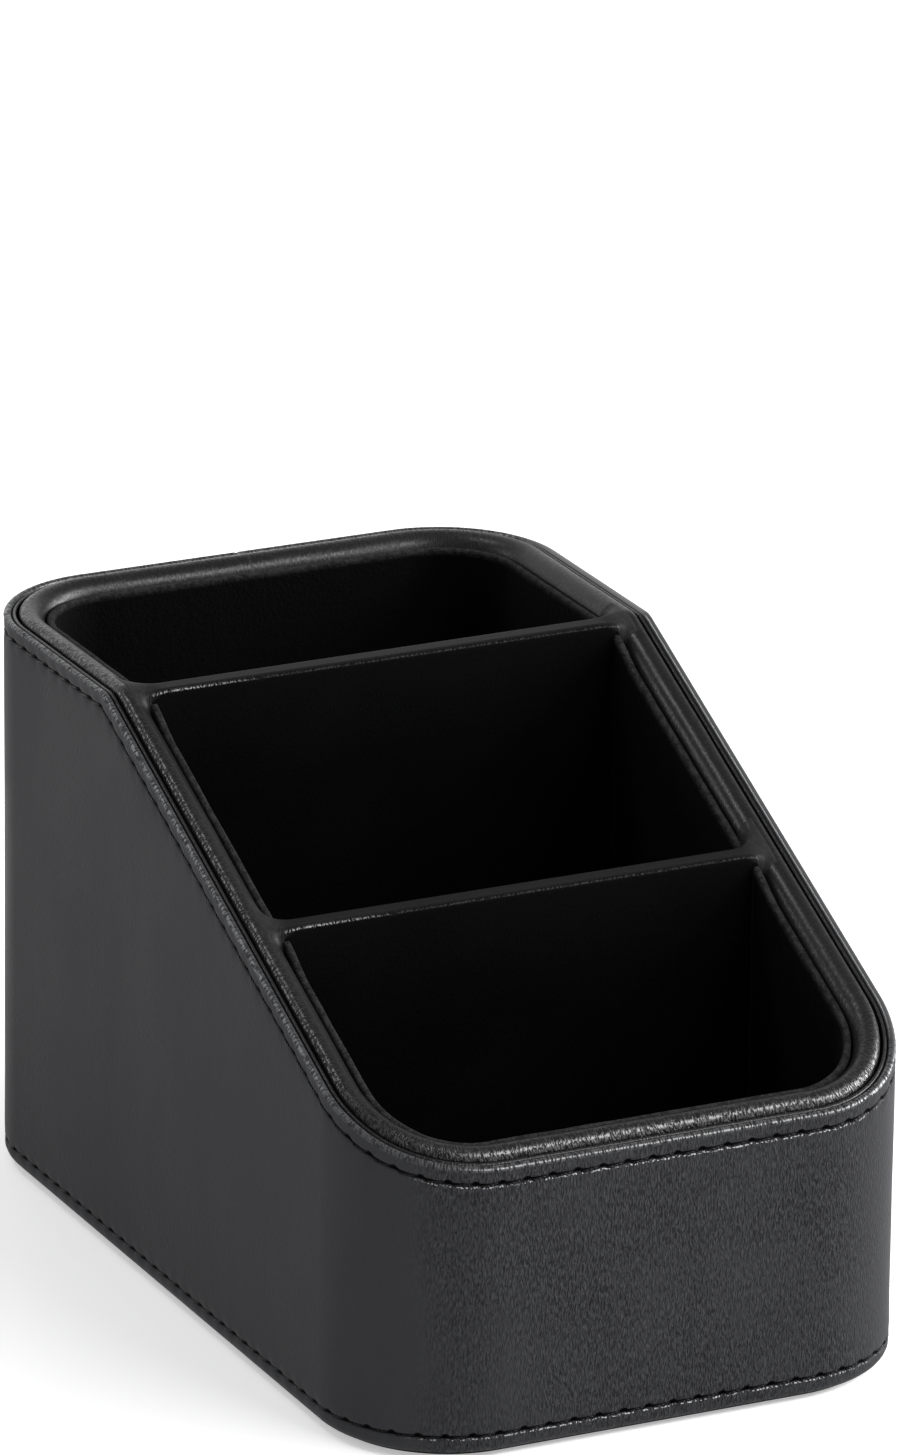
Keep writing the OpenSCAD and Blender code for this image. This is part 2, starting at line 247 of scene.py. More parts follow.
def outward(x, y):
    """The outline's outward direction at a point of it."""
    radius = front_radius if y < 0 else rear_radius
    dx = max(abs(x) - (width / 2 - radius), 0.0) * (1 if x > 0 else -1)
    dy = max(abs(y) - (depth / 2 - radius), 0.0) * (1 if y > 0 else -1)
    length = math.hypot(dx, dy)
    return dx / length, dy / length


def walk_outline(piece):
    """Each point's place, outward direction and distance along, from the middle of the back."""
    shape = bmesh.from_edit_mesh(piece.data)
    shape.verts.ensure_lookup_table()
    at = min(shape.verts, key=lambda v: (v.co - Vector((0, depth / 2, 0))).length)
    before, along, found = None, 0.0, {}
    while at.index not in found:
        found[at.index] = (at.co.x, at.co.y, *outward(at.co.x, at.co.y), along)
        ahead = [e.other_vert(at) for e in at.link_edges if e.other_vert(at) != before]
        if before is None:
            ahead.sort(key=lambda v: v.co.x)
        before, at = at, ahead[0]
        along += (at.co - before.co).length
    return found, along


def swept(name, rows, relief=None):
    """Carries a closed section round the outline. A row is its inset and its drop below the
    rim; its level; or its share of the way from that level to that drop."""
    piece = outline_loop(name)
    stations, around = walk_outline(piece)
    shape = bmesh.from_edit_mesh(piece.data)
    station_mark = shape.verts.layers.int.new("station")
    along_mark = shape.verts.layers.float.new("along")
    shape.verts.layers.float.new("across")
    shape.verts.layers.float.new("below")
    for v in shape.verts:
        v[station_mark] = v.index
        v[along_mark] = stations[v.index][4]
    bmesh.update_edit_mesh(piece.data)
    before = {}
    for number, row in enumerate(rows + rows[:1]):
        if number:
            bpy.ops.mesh.extrude_edges_move()
        shape = bmesh.from_edit_mesh(piece.data)
        station_mark = shape.verts.layers.int["station"]
        across_mark = shape.verts.layers.float["across"]
        below_mark = shape.verts.layers.float["below"]
        for v in shape.verts:
            if not v.select:
                continue
            x, y, nx, ny, along = stations[v[station_mark]]
            inset, drop, level = row
            if relief:
                inset -= relief(along, row, x, y)
            px, py = x - nx * inset, y - ny * inset
            if level is None:
                z = rim_height(py, drop)
            elif drop is None:
                z = level
            else:
                share, start = level
                z = start + share * (rim_height(py, drop) - start)
            v.co = (px, py, z)
            run, last = before.get(v[station_mark], (0.0, v.co))
            run += (v.co - last).length
            before[v[station_mark]] = (run, v.co.copy())
            v[across_mark] = run
            v[below_mark] = rim_height(py, 0.0) - z if level or drop is None else drop
        bmesh.update_edit_mesh(piece.data)
    bpy.ops.mesh.select_all(action="SELECT")
    bpy.ops.mesh.remove_doubles(threshold=2e-6)
    bpy.ops.mesh.normals_make_consistent(inside=False)
    bpy.ops.object.mode_set(mode="OBJECT")
    bpy.ops.object.shade_smooth()
    return piece


def curve(inset, drop, across, down, start, end, steps):
    """Rows on a rounding about a point of the section, from one angle to another."""
    turns = [math.radians(start + (end - start) * i / steps) for i in range(steps + 1)]
    return [(inset - across * math.cos(a), drop - down * math.sin(a), None) for a in turns]


def grained_leather(name, strokes, shades, gloss, depth_of_grain, fade, coat=0.0, shine=0.3):
    """Black leather-like sheet. Its grain is short wrinkles across the sheet's run, as many
    to the metre as the strokes say along it and across it; fade says where they are deep.
    The ridges are painted lighter and the hollows darker, as painted shading of the grain."""
    finish = Finish(name, Specular_IOR_Level=shine, Coat_Roughness=0.30, Coat_IOR=1.8)
    run = finish.spread(finish.mark("along") * strokes[0], finish.mark("across") * strokes[1])
    wrinkles = finish.cloud(run, 1.0, 1.0, 0.5, 0.5)
    broad = finish.cloud(finish.place(), 30.0, 2.0, 0.55)
    deep = fade(finish)
    ridges = (wrinkles - 0.5) * 1.6 * deep
    # Painted shading of the grain: ridges lighter, hollows darker, over a random broad tone
    finish.feed("Base Color", finish.tint(ridges * 0.9 + broad * 0.3 + 0.30, *shades))
    finish.feed("Roughness", finish.step(broad, 0.35, 0.65, gloss - 0.05, gloss + 0.05))
    if coat:
        finish.feed("Coat Weight", finish.step(wrinkles, 0.46, 0.60, 0.0, coat) * deep)
    finish.relief(ridges, depth_of_grain)
    return finish


def deep_on_shoulder(finish):
    """How deep the rim's grain is, with its painted highlights on the ridges and its gloss: most on
    the outer shoulder and towards the front right, where the light falls; less inwards, at the left
    and along the right slope.
    """
    run = finish.mark("across")
    # Painted highlights: the ridges' lighter tint follows this mask, set by where the light falls
    shoulder = finish.step(run, 0.0115, 0.0148, 1.0, 0.22)
    right = finish.step(finish.side(0) - finish.side(1) * 0.9, -0.03, 0.07, 0.65, 1.0)
    slope_right = finish.step(finish.side(0), 0.050, 0.0535)
    slope_right = slope_right * finish.step(finish.side(1), -0.085, -0.060)
    return shoulder * right * (1.0 - slope_right * 0.6)


rim_rows = ([(rim_outer, rim_skirt, None), (rim_outer, 0.0080, None), (rim_outer, 0.0050, None),
             (rim_outer, 0.0032, None)]
            + curve(rim_ridge, rim_shoulder, rim_ridge - rim_outer, rim_shoulder, 0, 90, 9)
            + curve(rim_ridge, rim_fall, rim_inner - rim_ridge, rim_fall, 96, 180, 13)
            + [(rim_inner, 0.0062, None), (rim_inner, 0.0090, None), (rim_inner, rim_skirt, None),
               (rim_inner - rim_sheet, rim_skirt, None), (rim_inner - rim_sheet, rim_crown, None),
               (rim_outer + rim_sheet, rim_crown, None), (rim_outer + rim_sheet, rim_skirt, None)])


padding_depth, padding_reach = 0.00007, 0.006
quiet_reach, quiet_fade, long_side = 0.008, 0.006, 0.05


def rim_unevenness(along, row, x, y):
    """Padding under the rim's leather is never quite even, but it lies flat by the dividers."""
    if row[1] > padding_reach:
        return 0.0
    away = min(abs(y - rear_divider_y), abs(y - front_divider_y))
    share = min(max((away - quiet_reach) / quiet_fade, 0.0), 1.0) if abs(x) > long_side else 1.0
    return padding_depth * share * noise.noise(Vector((x * 90, y * 90, row[0] * 300)))


rim_leather = swept("rim_leather", rim_rows, rim_unevenness)
dress(rim_leather, grained_leather(
    "rim_leather", (2500.0, 950.0), ((0.003, 0.003, 0.0031), (0.016, 0.016, 0.0165)),
    0.34, 0.00028, deep_on_shoulder, coat=1.0, shine=0.20))
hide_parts("rim_cover")
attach(rim_leather, "root")


# The dividers' leather. A sheet folded over the top of each divider board and glued down
# both its faces. At the ends it runs out flat over the rim's fall, and behind the divider
# it turns into the rim's inner edge in a small hollow corner.

divider_half, divider_round, sheet = 0.0026, 0.0013, 0.0008
divider_foot = 0.0069
rear_hollow, front_hollow = 0.0045, 0.0006
level_reach = 0.0045
# Shares of the sheet's half width that lie on the top, round the fold and down the face
top_share, fold_share, face_share = 0.35, 0.35, 0.3
top_run, fold_run = 0.0013, 0.00204
sheet_lift, sheet_end, sheet_dip, dip_reach, dip_width = 0.00004, 0.0002, 0.00010, 0.0006, 0.0007
inner_face = width / 2 - rim_inner
rim_fall_width = rim_inner - rim_ridge


def smooth(t):
    t = min(max(t, 0.0), 1.0)
    return t * t * (3 - 2 * t)


def rounded_down(distance, reach, fall):
    """How far a rounded edge has come down at a distance in from it."""
    t = min(max((reach - distance) / reach, 0.0), 1.0)
    return fall * (1 - math.sqrt(1 - t * t))


def junction_height(a, out, side, centre):
    """Height of the leather where a divider's top runs out into the rim. The edge that the
    sheet falls away from is the rim's inner edge, a hollow corner, and the divider's edge."""
    hollow = rear_hollow if side > 0 else front_hollow
    corner_a, corner_out = inner_face - hollow, divider_half + hollow
    turn = 0.0
    if out >= corner_out:
        distance = a - inner_face
    elif a <= corner_a:
        distance, turn = divider_half - out, 1.0
    else:
        distance = math.hypot(a - corner_a, corner_out - out) - hollow
        turn = math.atan2(corner_out - out, a - corner_a) / (math.pi / 2)
    turn = smooth(turn)
    fall = rounded_down(max(distance, 0.0), rim_fall_width + (divider_round - rim_fall_width) * turn,
                        rim_fall + (divider_round - rim_fall) * turn)
    y = centre + side * out
    # The divider's top is level, and the rim beside it slopes
    level = 1 - smooth((a - inner_face + level_reach) / (level_reach + rim_fall_width))
    share = 1 - level * (1 - smooth((out - divider_half) / hollow))
    return (1 - share) * (rim_height(centre, 0.0) - fall) + share * rim_height(y, fall)


def divider_leather(name, centre):
    """A grid folded in code: x runs the length, y runs up one face, over the top and down."""
    reach = width / 2 - rim_ridge - sheet_end
    piece = new_piece(name, bpy.ops.mesh.primitive_grid_add,
                      x_subdivisions=300, y_subdivisions=80, size=2.0)
    shape = bmesh.new()
    shape.from_mesh(piece.data)
    along_mark = shape.verts.layers.float.new("along")
    across_mark = shape.verts.layers.float.new("across")
    for v in shape.verts:
        # The columns crowd towards the ends, and the rows towards the top fold
        x = reach * (1.4 * v.co.x - 0.4 * v.co.x ** 3)
        a = abs(x)
        side, u = (1 if v.co.y > 0 else -1), abs(v.co.y)
        hollow = rear_hollow if side > 0 else front_hollow
        if a < inner_face:
            t = max(a - inner_face + hollow, 0.0)
            corner = hollow - math.sqrt(max(hollow ** 2 - t * t, 0.0))
        else:
            corner = hollow + 0.0010
        edge = divider_half + corner
        rounding = divider_round + 0.5 * corner
        if u < top_share:
            out, run = (edge - rounding) * u / top_share, top_run * u / top_share
        else:
            turn = min((u - top_share) / fold_share, 1.0)
            out = edge - rounding * (1 - math.sin(turn * math.pi / 2))
            run = top_run + fold_run * turn
        z = min(junction_height(a, out, side, centre) + sheet_lift, rear_height)
        if a > inner_face:
            # The sheet's ends dip just under the rim's
            z -= sheet_dip * smooth((a - reach + dip_reach) / dip_reach)
            z -= sheet_dip * smooth((out - edge + dip_width) / dip_width)
        down = max((u - top_share - fold_share) / face_share, 0.0) ** 2
        if down and a < inner_face:
            fallen = down * (z - divider_foot)
            z -= fallen
            out = divider_half + corner * (1 - smooth(fallen / 0.0030))
            run += fallen
        elif down:
            z -= 0.0004 + 0.001 * down
        v.co = (x, centre + side * out, z)
        v[along_mark] = x
        v[across_mark] = side * run
    bmesh.ops.remove_doubles(shape, verts=shape.verts, dist=1e-5)
    bmesh.ops.recalc_face_normals(shape, faces=shape.faces)
    shape.to_mesh(piece.data)
    shape.free()
    full = piece.vertex_groups.new(name="full")
    inside = [v.index for v in piece.data.vertices if abs(v.co.x) < inner_face - sheet_end]
    full.add(inside, 1.0, "REPLACE")
    thickness = piece.modifiers.new("sheet", "SOLIDIFY")
    thickness.thickness = sheet
    thickness.offset = -1.0
    thickness.vertex_group = "full"
    thickness.thickness_vertex_group = 0.1
    bpy.ops.object.modifier_apply(modifier="sheet")
    bpy.ops.object.shade_smooth()
    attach(piece, "root")
    return piece


def divider_sheet():
    """A duller sheet than the rim's, painted blacker as painted shade: near-black down its faces in
    the compartments and a little greyer on its top. Its ends take the rim's tone, and a fine
    grained line shines along the front fold, most at the left."""
    finish = Finish("divider_leather", Roughness=0.42, Specular_IOR_Level=0.02,
                    Coat_Roughness=0.30, Coat_IOR=1.8)
    along, across = finish.mark("along"), finish.mark("across")
    wrinkles = finish.cloud(finish.spread(along * 2600.0, across * 1500.0), 1.0, 1.0, 0.5, 0.4)
    broad = finish.cloud(finish.place(), 40.0, 2.0, 0.55)
    top = finish.step(across.math("ABSOLUTE"), 0.0016, 0.0026, 1.0, 0.0)
    ends = finish.step(along.math("ABSOLUTE"), 0.0490, 0.0530)
    ends = ends * finish.step(across.math("ABSOLUTE"), 0.0030, 0.0036, 1.0, 0.0)
    left = finish.step(along, -0.044, -0.024, 1.0, 0.10)
    fold = finish.step((across + 0.0024).math("ABSOLUTE"), 0.00015, 0.00055, 1.0, 0.0)
    # Painted shade: the sheet is near-black down its faces in the compartments and a little greyer on
    # top
    black = finish.tint((wrinkles - 0.5) * 1.2 + broad * 0.6 + 0.2,
                        (0.0008, 0.0008, 0.0009), (0.0034, 0.0034, 0.0036))
    grey = finish.tint((wrinkles - 0.5) * 1.4 + broad * 0.6 + 0.2,
                       (0.0080, 0.0080, 0.0083), (0.0150, 0.0150, 0.0155))
    rim_grey = finish.tint((wrinkles - 0.5) * 1.4 + 0.5,
                           (0.014, 0.014, 0.0144), (0.034, 0.034, 0.035))
    finish.feed("Base Color", finish.over(ends, finish.over(top, black, grey), rim_grey))
    shine = finish.step(wrinkles, 0.44, 0.58) * fold * left * (1.0 - ends)
    finish.feed("Coat Weight", shine * 0.9 + ends * 0.06)
    finish.relief(wrinkles * (left * fold * 0.7 + 0.3), 0.00010)
    return finish


divider_finish = divider_sheet()
rear_divider_leather = divider_leather("rear_divider_leather", rear_divider_y)
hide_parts("rear_divider_cover")
dress(rear_divider_leather, divider_finish)
front_divider_leather = divider_leather("front_divider_leather", front_divider_y)
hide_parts("front_divider_cover")
dress(front_divider_leather, divider_finish)


# The linings. Panels of thin card covered in black brushed cloth, glued inside the walls:
# one bent round three sides of each end compartment, and two flat ones between the dividers.
# Their rounded top edges lie a little below the rim.

lining_outer, lining_inner, lining_drop = 0.0087, 0.0102, 0.0024
lining_gap = divider_half + 0.00015
lining_rise, lining_rise_run = 0.0014, 0.0090
floor_level = 0.0069
back_round, face_round = 0.00045, 0.0006
lining_rows = ([(lining_outer, None, floor_level), (lining_outer, 0.0200, (0.6, floor_level)),
                (lining_outer, 0.0034, None)]
               + curve(lining_outer + back_round, lining_drop + back_round,
                       back_round, back_round, 0, 90, 3)
               + curve(lining_inner - face_round, lining_drop + face_round,
                       face_round, face_round, 90, 180, 5)
               + [(lining_inner, 0.0040, None), (lining_inner, 0.0080, None),
                  (lining_inner, 0.0200, (0.6, floor_level)), (lining_inner, None, floor_level)])


def lining_softness(along, row, x, y):
    """The cloth pulls a little unevenly over the panel's top edge."""
    if row[1] is None or row[2] is not None:
        return 0.0
    return 0.00010 * noise.noise(Vector((x * 160, y * 160, row[1] * 200)))


def lining_panel(name, back, front, side, *nodes):
    """The part of the lining ring between two places along the depth, or its one side."""
    piece = swept(name, lining_rows, lining_softness)
    bpy.ops.object.mode_set(mode="EDIT")
    cuts = [((0, back, 0), (0, 1, 0)), ((0, front, 0), (0, -1, 0))]
    if side:
        cuts.append(((0, 0, 0), (-side, 0, 0)))
    for place, away in cuts:
        bpy.ops.mesh.select_all(action="SELECT")
        bpy.ops.mesh.bisect(plane_co=place, plane_no=away, use_fill=True, clear_outer=True)
    bpy.ops.mesh.select_all(action="SELECT")
    bpy.ops.mesh.normals_make_consistent(inside=False)
    bpy.ops.object.mode_set(mode="OBJECT")
    # In front of each divider the panel's top rises to meet the divider's edge
    for v in piece.data.vertices:
        for centre in (rear_divider_y, front_divider_y):
            away = centre - lining_gap - v.co.y
            if -hair < away < lining_rise_run and abs(v.co.x) > 0.045:
                below = rim_height(v.co.y, 0.0) - v.co.z
                v.co.z += (lining_rise * (1 - smooth(away / lining_rise_run))
                           * (1 - smooth((below - 0.004) / 0.008)))
    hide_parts(*nodes)
    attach(piece, "root")
    return piece


def brushed_cloth(name, shades, nap):
    """Matt black cloth with a short pile. Along a panel's top edge it is painted paler in flecks, a
    painted highlight where the edge catches the light.
    """
    finish = Finish(name, Roughness=0.8, Specular_IOR_Level=0.04, Sheen_Weight=0.02,
                    Sheen_Roughness=0.4)
    place = finish.place()
    fuzz = finish.cloud(place, 1700.0, 2.0, 0.6)
    tufts = finish.cloud(place, 600.0, 2.0, 0.6)
    patches = finish.cloud(place, 60.0, 2.0, 0.5)
    pile = fuzz * 0.55 + tufts * 0.45
    cloth = finish.tint(pile * 0.7 + patches * 0.3, *shades)
    # Painted highlight: pale flecks along the panel's top edge, fading out down the face
    edge = finish.step(finish.mark("below"), lining_drop + 0.0003, lining_drop + 0.0016, 1.0, 0.0)
    edge = edge * finish.step(finish.mark("below"), 0.0001, 0.0004)
    edge = edge * finish.step(fuzz * 0.5 + tufts * 0.5, 0.40, 0.60, 0.35, 1.0)
    finish.feed("Base Color", finish.over(edge, cloth, (0.026, 0.026, 0.027, 1.0)))
    finish.relief(pile, nap)
    return finish


lining_finish = brushed_cloth(
    "lining_cloth", ((0.0005, 0.0005, 0.0006), (0.0030, 0.0030, 0.0032)), 0.00030)
middle_back, middle_front = rear_divider_y - lining_gap, front_divider_y + lining_gap
for piece in (
        lining_panel("rear_lining_cloth", depth, rear_divider_y + lining_gap, 0, "rear_lining"),
        lining_panel("middle_lining_cloth_left", middle_back, middle_front, -1,
                     "middle_lining_left"),
        lining_panel("middle_lining_cloth_right", middle_back, middle_front, 1,
                     "middle_lining_right"),
        lining_panel("front_lining_cloth", front_divider_y - lining_gap, -depth, 0,
                     "front_lining")):
    dress(piece, lining_finish)


# The floor pads. Card covered in the same cloth, its edges soft where the cloth turns
# round them. One pad is dropped onto the base in each compartment.

pad_round = 0.0004


def softened(name, node, radius):
    """A copy of a solid with rounded edges, and two rings inset in its broad faces that
    keep these flat right up to the rounding."""
    bpy.ops.object.select_all(action="DESELECT")
    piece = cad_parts[node].copy()
    piece.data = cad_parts[node].data.copy()
    piece.name = name
    piece.parent = None
    for key in list(piece.keys()):
        del piece[key]
    bpy.context.scene.collection.objects.link(piece)
    piece.matrix_world = Matrix.Identity(4)
    piece.hide_render = False
    piece.select_set(True)
    bpy.context.view_layer.objects.active = piece
    bpy.ops.object.mode_set(mode="EDIT")
    bpy.ops.mesh.select_all(action="SELECT")
    bpy.ops.mesh.remove_doubles(threshold=1e-6)
    bpy.ops.mesh.dissolve_limited(angle_limit=math.radians(1.0))
    bpy.ops.object.mode_set(mode="OBJECT")
    edge = piece.modifiers.new("edge", "BEVEL")
    edge.width = radius
    edge.segments = 3
    edge.limit_method = "ANGLE"
    edge.angle_limit = math.radians(50)
    bpy.ops.object.modifier_apply(modifier="edge")
    bpy.ops.object.mode_set(mode="EDIT")
    pick(piece, lambda f: abs(f.normal.z) > 0.99 and f.calc_area() > 1e-4, "faces")
    bpy.ops.mesh.inset(thickness=0.004)
    bpy.ops.mesh.inset(thickness=0.006)
    bpy.ops.mesh.select_all(action="SELECT")
    bpy.ops.mesh.quads_convert_to_tris()
    bpy.ops.object.mode_set(mode="OBJECT")
    bpy.ops.object.shade_smooth_by_angle(angle=math.radians(40))
    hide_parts(node)
    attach(piece, "root")
    return piece


for name in ("rear_floor_pad", "middle_floor_pad", "front_floor_pad"):
    dress(softened(name + "_cloth", name, pad_round), lining_finish)


# The turned-in strip. Behind the outer leather's rolled edge runs a strip of stiff card
# covered in the same sheet; its rounded top shows as a second line beside the groove.

strip_outer, strip_inner, strip_drop, strip_round = 0.0018, 0.0026, 0.00105, 0.0004
strip_foot, strip_support = 0.00395, 0.0030
strip_rows = ([(strip_outer, None, strip_foot), (strip_outer, strip_support, None)]
              + curve(strip_outer + strip_round, strip_drop + strip_round,
                      strip_round, strip_round, 0, 180, 8)
              + [(strip_inner, strip_support, None), (strip_inner, None, strip_foot)])
inner_strip = swept("inner_strip", strip_rows)
dress(inner_strip, grained_leather(
    "strip_leather", (1900.0, 900.0), ((0.003, 0.003, 0.0031), (0.014, 0.014, 0.0145)),
    0.34, 0.00010, lambda finish: 1.0, shine=0.34))
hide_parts("wrap_backing")
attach(inner_strip, "root")


# The outer leather. One band of padded leather-like sheet around the walls, butted at the
# middle of the back, its top edge rolled over into a bead and its foot rolled in under the
# base and glued. Two lines of stitching pull small hollows into it.

wrap_thick, bead, wrap_drop = 0.00165, 0.0008, 0.0008
roll, roll_level, hem_level, hem_end = 0.0030, 0.00395, 0.00095, 0.0140
top_line, bottom_line = 0.00395, 0.00504
stitches = 111

# Rows close together beside the two stitch lines, and eight between them
low_rows = (0.0044, 0.00475, bottom_line, 0.00533, 0.0057, 0.0064, 0.0070, 0.0078)
high_rows = (0.0072, 0.0064, 0.0056, 0.0049, 0.0045, 0.0042, top_line, 0.0037, 0.0034, 0.0030, 0.0023)
face_rows = ([(0.0, None, level) for level in low_rows]
             + [(0.0, high_rows[0], (share / 9, low_rows[-1])) for share in range(1, 9)]
             + [(0.0, drop, None) for drop in high_rows])


def foot_roll(radius, turns):
    """Rows on the foot's rounding, from one angle to another."""
    return [(roll - radius * math.cos(math.radians(a)), None,
             roll_level + radius * math.sin(math.radians(a))) for a in turns]


inner_bead = wrap_thick - bead
wrap_rows = ([(hem_end, None, hem_level), (0.0100, None, hem_level), (0.0065, None, hem_level)]
             + foot_roll(roll, range(-90, 1, 15))
             + face_rows
             + curve(bead, wrap_drop + bead, bead, bead, 0, 90, 6)
             + curve(bead, wrap_drop + inner_bead, inner_bead, inner_bead, 105, 180, 5)
             + [(wrap_thick, 0.0040, None), (wrap_thick, None, roll_level)]
             + foot_roll(roll - wrap_thick, range(-15, -91, -15))
             + [(hem_end, None, hem_level + wrap_thick)])

skin = 0.0012
line_width, line_depth, hole_depth = 0.00040, 0.00026, 0.00050
pucker_place, pucker_width, pucker_depth = 0.0011, 0.0006, 0.00016
swell_depth, ripple_depth, seam_depth = 0.00010, 0.00003, 0.0005


def wrap_relief(along, row, x, y):
    """Stitch lines with a hollow at each needle hole, soft puckers beside them, and the
    slight unevenness of a padded sheet."""
    inset, drop, level = row
    if inset > skin:
        return 0.0
    around = 2 * math.pi * stitches * along / outline_length
    hole = (0.5 + 0.5 * math.cos(around)) ** 5
    between = 0.5 - 0.5 * math.cos(around)
    move = 0.0
    if level is None or drop is None:
        off = drop - top_line if level is None else level - bottom_line
        near = math.exp(-(off / line_width) ** 2)
        beside = math.exp(-((abs(off) - pucker_place) / pucker_width) ** 2)
        move -= near * (line_depth + hole_depth * hole)
        move -= beside * pucker_depth * (1 - between)
    if inset == 0.0 and drop is not None:
        height = level[0] if level else 1.0
        swell = noise.noise(Vector((x * 28, y * 28, height * 2.2)))
        ripple = noise.noise(Vector((x * 110, y * 110, height * 9.0)))
        move -= swell_depth * (swell + 0.6) + ripple_depth * (ripple + 0.6)
    if abs(along) < hair:
        # The butt seam
        move -= seam_depth
    return move


probe = outline_loop("probe")
outline_length = walk_outline(probe)[1]
bpy.ops.object.mode_set(mode="OBJECT")
bpy.data.objects.remove(probe)
outer_leather = swept("outer_leather", wrap_rows, wrap_relief)


hole_lift = 0.00026


def wrap_finish():
    """The outer sheet: wrinkles drawn out up and down, crushed into short dashes on the rolled edge,
    with painted shading on their ridges and hollows; needle holes and the thread's shadow painted
    black as painted shade, and pale flecks painted beside the stitching as painted highlights on the
    puckers."""
    finish = Finish("outer_leather", Specular_IOR_Level=0.02, Coat_Roughness=0.32, Coat_IOR=1.9)
    along, below = finish.mark("along"), finish.mark("below")
    level = finish.side(2)
    wrinkles = finish.cloud(finish.spread(along * 2700.0, level * 820.0), 1.0, 1.0, 0.5, 0.6)
    streaks = finish.cloud(finish.spread(along * 260.0, level * 45.0), 1.0, 3.0)
    broad = finish.cloud(finish.stretched(finish.place(), (26.0, 26.0, 18.0)), 1.0, 3.0, 0.6)
    # The wrinkles, and the painted light and shade on their ridges and hollows, are deepest at the
    # front and fade along the sides and round the corners
    front = finish.step(finish.side(0) * 0.06 - finish.side(1) + broad * 0.03, 0.1005, 0.1125)
    front = front * finish.step(finish.side(0), 0.036, 0.052, 1.0, 0.12)
    patch = finish.step(finish.cloud(finish.place(), 45.0, 1.0), 0.3, 0.6, 0.6, 1.0)
    rolled = finish.step(below, 0.0010, 0.0016, 1.0, 0.0)
    ridges = (wrinkles - 0.5) * 2.4 * (front * 0.93 + 0.07) * patch
    dashes = finish.cloud(finish.spread(along * 2400.0, finish.mark("across") * 700.0), 1.0, 1.0, 0.5)
    ridges = ridges + (dashes - 0.5) * rolled * (front + 0.3)
    # The needle holes and the thread's shadow, painted black as painted shade, and pale flecks on
    # the puckers beside the stitching, painted as painted highlights
    hole, pucker_glint = 0.0, 0.0
    beat = ((along * (stitches / outline_length)).math("FRACT") - 0.5).math("ABSOLUTE")
    flecks = finish.step(finish.cloud(finish.place(), 2200.0, 1.0), 0.53, 0.60)
    for line, place, lift in ((top_line, below, -hole_lift), (bottom_line, level, hole_lift)):
        off = (place - line - lift).math("ABSOLUTE")
        reach = ((0.5 - beat) * (outline_length / stitches)) ** 2 + (off * 1.5) ** 2
        hole = finish.step(reach.math("SQRT"), 0.00062, 0.00086, 1.0, 0.0) + hole
        hole = finish.step((place - line).math("ABSOLUTE"), 0.00018, 0.00042, 0.95, 0.0) + hole
        under = ((place - line) * (1 if lift < 0 else -1) - 0.00056).math("ABSOLUTE")
        pucker_glint = finish.step(under, 0.00006, 0.00022, 1.0, 0.0) * flecks * front + pucker_glint
    hole = hole.math("MINIMUM", 1.0)
    # Painted shading of the grain: wrinkle ridges and the rolled edge's dashes lighter, hollows
    # darker, over a random broad tone and streaks
    tone = finish.tint(ridges * 1.4 + broad * 0.30 + streaks * 0.14 + 0.28,
                       (0.0150, 0.0152, 0.0164), (0.0440, 0.0446, 0.0482))
    # Painted highlights: pale flecks on the puckers beside the stitching
    tone = finish.over(pucker_glint.math("MINIMUM", 1.0), tone, (0.45, 0.45, 0.46, 1.0))
    # Painted shade: the needle holes and the thread's shadow are near-black
    finish.feed("Base Color", finish.over(hole, tone, (0.0010, 0.0010, 0.0010, 1.0)))
    finish.feed("Roughness", finish.step(broad, 0.35, 0.65, 0.40, 0.50))
    dash = finish.step(dashes, 0.45, 0.54, 0.04, 1.0)
    # The rolled edge is glossiest at the front, and polished smooth along the right side
    glossy = finish.step(finish.side(0) - finish.side(1) * 0.8, 0.0, 0.07, 0.90, 1.0)
    dash = dash.math("MAXIMUM", finish.step(finish.side(0), 0.055, 0.059))
    finish.feed("Coat Weight", (1.0 - hole) * (rolled * dash * glossy + 0.025))
    finish.relief(ridges, 0.00042)
    return finish


dress(outer_leather, wrap_finish())
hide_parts("outer_wrap")
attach(outer_leather, "root")


# The stitching. Thick black waxed thread, in two rows of long stitches all the way round:
# one below the rolled edge and one above the foot. Each stitch dips into its needle holes.

thread, stitch_gap = 0.00028, 0.0012
thread_depth, thread_flatness = 0.00026, 0.8
stitch_dip, lean_rise, lean_drop = 0.00030, 0.00034, 0.00008


def on_outline(along):
    """Place and outward direction at a distance along, from the middle of the back."""
    along %= outline_length
    mirror = 1
    if along > outline_length / 2:
        along, mirror = outline_length - along, -1
    rear_run = width / 2 - rear_radius
    rear_arc = rear_radius * math.pi / 2
    side_run = depth - rear_radius - front_radius
    front_arc = front_radius * math.pi / 2
    if along < rear_run:
        x, y, nx, ny = -along, depth / 2, 0.0, 1.0
    elif along < rear_run + rear_arc:
        a = math.pi / 2 + (along - rear_run) / rear_radius
        nx, ny = math.cos(a), math.sin(a)
        x, y = -rear_run + rear_radius * nx, depth / 2 - rear_radius + rear_radius * ny
    elif along < rear_run + rear_arc + side_run:
        x, y, nx, ny = -width / 2, depth / 2 - rear_radius - (along - rear_run - rear_arc), -1.0, 0.0
    elif along < rear_run + rear_arc + side_run + front_arc:
        a = math.pi + (along - rear_run - rear_arc - side_run) / front_radius
        nx, ny = math.cos(a), math.sin(a)
        x = -(width / 2 - front_radius) + front_radius * nx
        y = -depth / 2 + front_radius + front_radius * ny
    else:
        x = -(width / 2 - front_radius) + along - (rear_run + rear_arc + side_run + front_arc)
        y, nx, ny = -depth / 2, 0.0, -1.0
    return x * mirror, y, nx * mirror, ny


